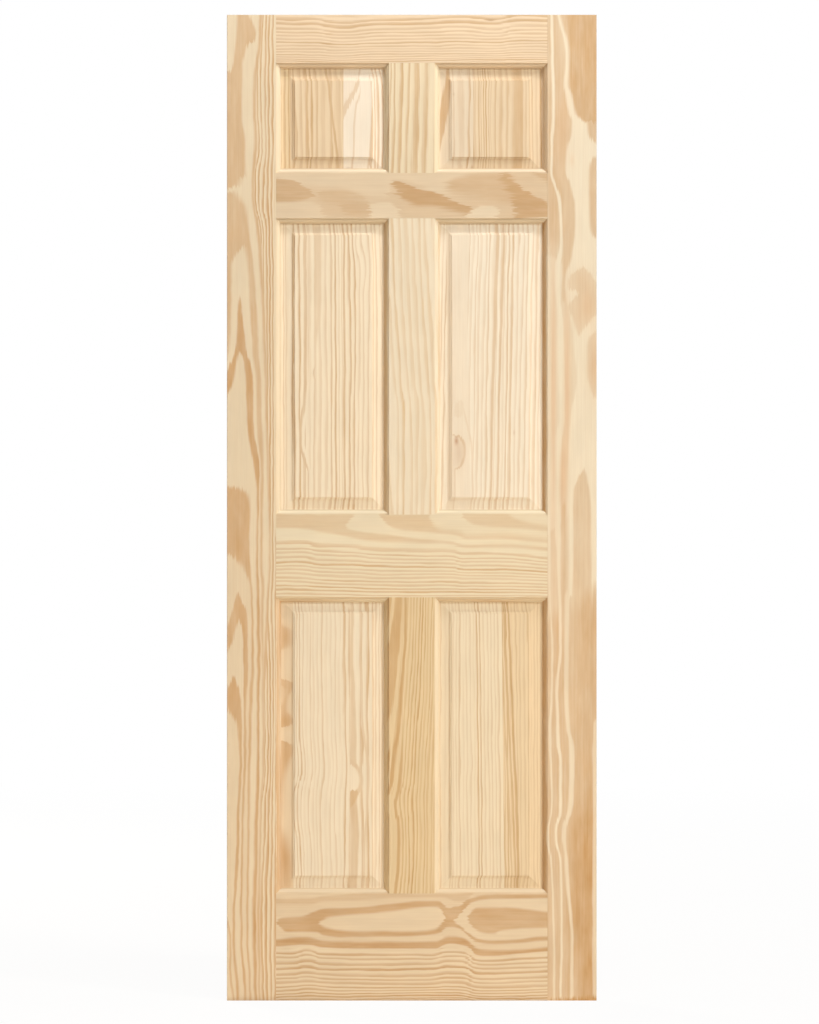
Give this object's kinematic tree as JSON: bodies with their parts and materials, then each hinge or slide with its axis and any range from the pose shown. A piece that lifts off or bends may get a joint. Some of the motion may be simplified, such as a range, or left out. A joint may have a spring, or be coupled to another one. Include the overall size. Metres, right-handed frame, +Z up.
{
  "type": "panelled interior door leaf",
  "caption": "Unfinished clear pine interior door leaf of stile-and-rail build, with ovolo sticking, coped and dowelled joints and double-raised panels.",
  "frame": {"origin": "middle of the bottom edge, halfway through the thickness", "axes": "+X across the leaf to the right stile as seen from the front, +Y through the thickness to the back face, +Z up the stiles"},
  "size_m": [0.762, 0.035, 2.032],
  "materials": {
    "stile_pine": "bare sanded clear pine",
    "rail_pine": "bare sanded clear pine",
    "mullion_pine": "bare sanded clear pine",
    "panel_pine": "bare sanded clear pine",
    "dowel_beech": "bare fluted beech"
  },
  "bodies": {
    "root": {"left_stile": "stile_pine", "right_stile": "stile_pine", "top_rail": "rail_pine", "frieze_rail": "rail_pine", "lock_rail": "rail_pine", "bottom_rail": "rail_pine", "top_mullion": "mullion_pine", "middle_mullion": "mullion_pine", "bottom_mullion": "mullion_pine", "top_left_panel": "panel_pine", "top_right_panel": "panel_pine", "middle_left_panel": "panel_pine", "middle_right_panel": "panel_pine", "bottom_left_panel": "panel_pine", "bottom_right_panel": "panel_pine", "top_rail_dowels": "dowel_beech", "frieze_rail_dowels": "dowel_beech", "lock_rail_dowels": "dowel_beech", "bottom_rail_dowels": "dowel_beech", "top_mullion_dowels": "dowel_beech", "middle_mullion_dowels": "dowel_beech", "bottom_mullion_dowels": "dowel_beech"}
  },
  "joints": []
}
